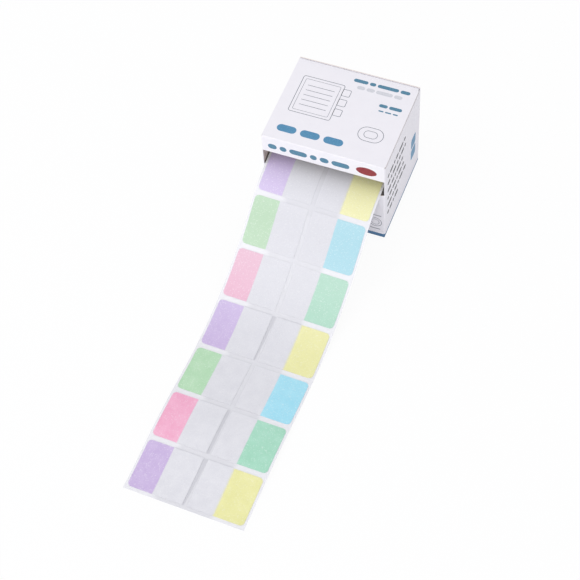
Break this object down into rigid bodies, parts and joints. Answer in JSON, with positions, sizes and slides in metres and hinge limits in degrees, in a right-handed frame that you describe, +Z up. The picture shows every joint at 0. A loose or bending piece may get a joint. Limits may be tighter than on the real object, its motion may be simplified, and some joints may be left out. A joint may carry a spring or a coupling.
{
  "type": "pull-out index tab dispenser",
  "caption": "Small white carton with a slot across its front, from which a strip of translucent film carries pairs of rounded colour-ended sticky index tabs down to the table.",
  "frame": {"origin": "the middle of the carton's base, on the surface it stands on", "axes": "+Z up; -Y out of the slot, along the film that is pulled out; +X to the right seen from the front"},
  "size_m": [0.0675, 0.2291, 0.0565],
  "materials": {
    "board": "satin",
    "film": "satin",
    "tab_violet": "satin",
    "tab_yellow": "satin",
    "tab_green": "satin",
    "tab_blue": "satin",
    "tab_pink": "satin",
    "tab_mint": "satin"
  },
  "bodies": {
    "carton": {"carton": "board", "release_film": "film", "tab_wound_row_4_left": "tab_pink", "tab_wound_row_4_right": "tab_mint", "tab_wound_row_3_left": "tab_violet", "tab_wound_row_3_right": "tab_yellow", "tab_wound_row_2_left": "tab_green", "tab_wound_row_2_right": "tab_blue", "tab_wound_row_1_left": "tab_pink", "tab_wound_row_1_right": "tab_mint", "tab_row_1_left": "tab_violet", "tab_row_1_right": "tab_yellow", "tab_row_2_left": "tab_green", "tab_row_2_right": "tab_blue", "tab_row_3_left": "tab_pink", "tab_row_3_right": "tab_mint", "tab_row_4_left": "tab_violet", "tab_row_4_right": "tab_yellow", "tab_row_5_left": "tab_green", "tab_row_5_right": "tab_blue", "tab_row_6_left": "tab_pink", "tab_row_6_right": "tab_mint", "tab_row_7_left": "tab_violet", "tab_row_7_right": "tab_yellow"},
    "lid": {"lid": "board"}
  },
  "joints": [
    {"name": "lid_hinge", "type": "hinge", "parent": "carton", "child": "lid", "pos_m": [0, -0.02655, 0.05605], "axis": [1, 0, 0], "range_deg": [0, 180]}
  ]
}
